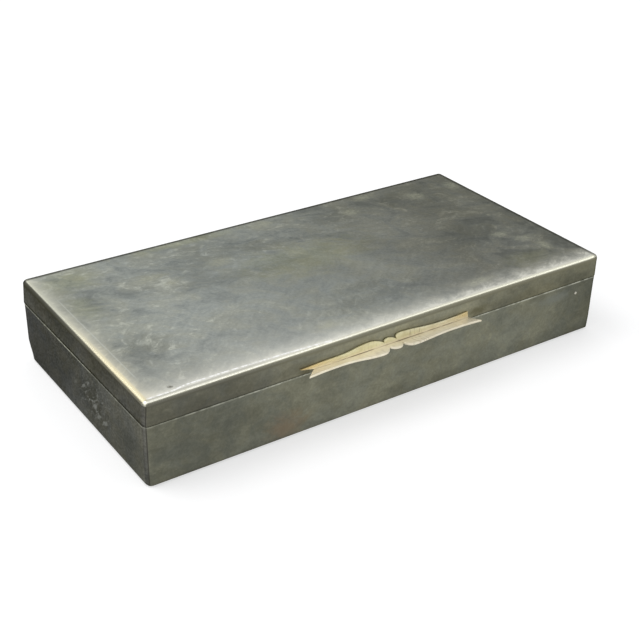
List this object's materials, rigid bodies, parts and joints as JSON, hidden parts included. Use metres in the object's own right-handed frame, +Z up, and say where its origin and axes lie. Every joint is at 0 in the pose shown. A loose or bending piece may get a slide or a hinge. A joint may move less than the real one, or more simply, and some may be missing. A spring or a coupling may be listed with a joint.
{
  "type": "silver-covered table box",
  "caption": "Low rectangular table box of toned silver sheet over cedar, with a hinged lid, a shaped thumbpiece and two compartments.",
  "frame": {"origin": "middle of the baize on the box's underside, on the surface that it stands on", "axes": "+X along the box's length to the right, +Y from the front with the thumbpiece to the back with the hinge, +Z up"},
  "size_m": [0.178, 0.0938, 0.0296],
  "materials": {
    "toned_silver": "silver toned dark olive grey, satin",
    "rim_silver": "silver, lightly toned, satin",
    "thumb_silver": "pale cream silver, rubbed bright at its edge",
    "pin_metal": "silver wire, satin",
    "cedar": "planed cedar, oiled",
    "baize": "green wool baize"
  },
  "bodies": {
    "base": {"base_casing": "toned_silver", "base_rim": "rim_silver", "base_hinge_leaf": "rim_silver", "hinge_pin": "pin_metal", "front_board": "cedar", "back_board": "cedar", "left_board": "cedar", "right_board": "cedar", "floor_board": "cedar", "divider": "cedar", "baize": "baize", "flange_pins": "pin_metal", "front_pin": "pin_metal"},
    "lid": {"lid_casing": "toned_silver", "lid_rim": "rim_silver", "lid_hinge_leaf": "rim_silver", "thumbpiece": "thumb_silver", "lid_panel": "cedar", "lid_front_strip": "cedar", "lid_back_strip": "cedar", "lid_left_strip": "cedar", "lid_right_strip": "cedar"}
  },
  "joints": [
    {"name": "lid_hinge", "type": "hinge", "parent": "base", "child": "lid", "pos_m": [0, 0.0436, 0.0213], "axis": [-1, 0, 0], "range_deg": [0, 95]}
  ]
}
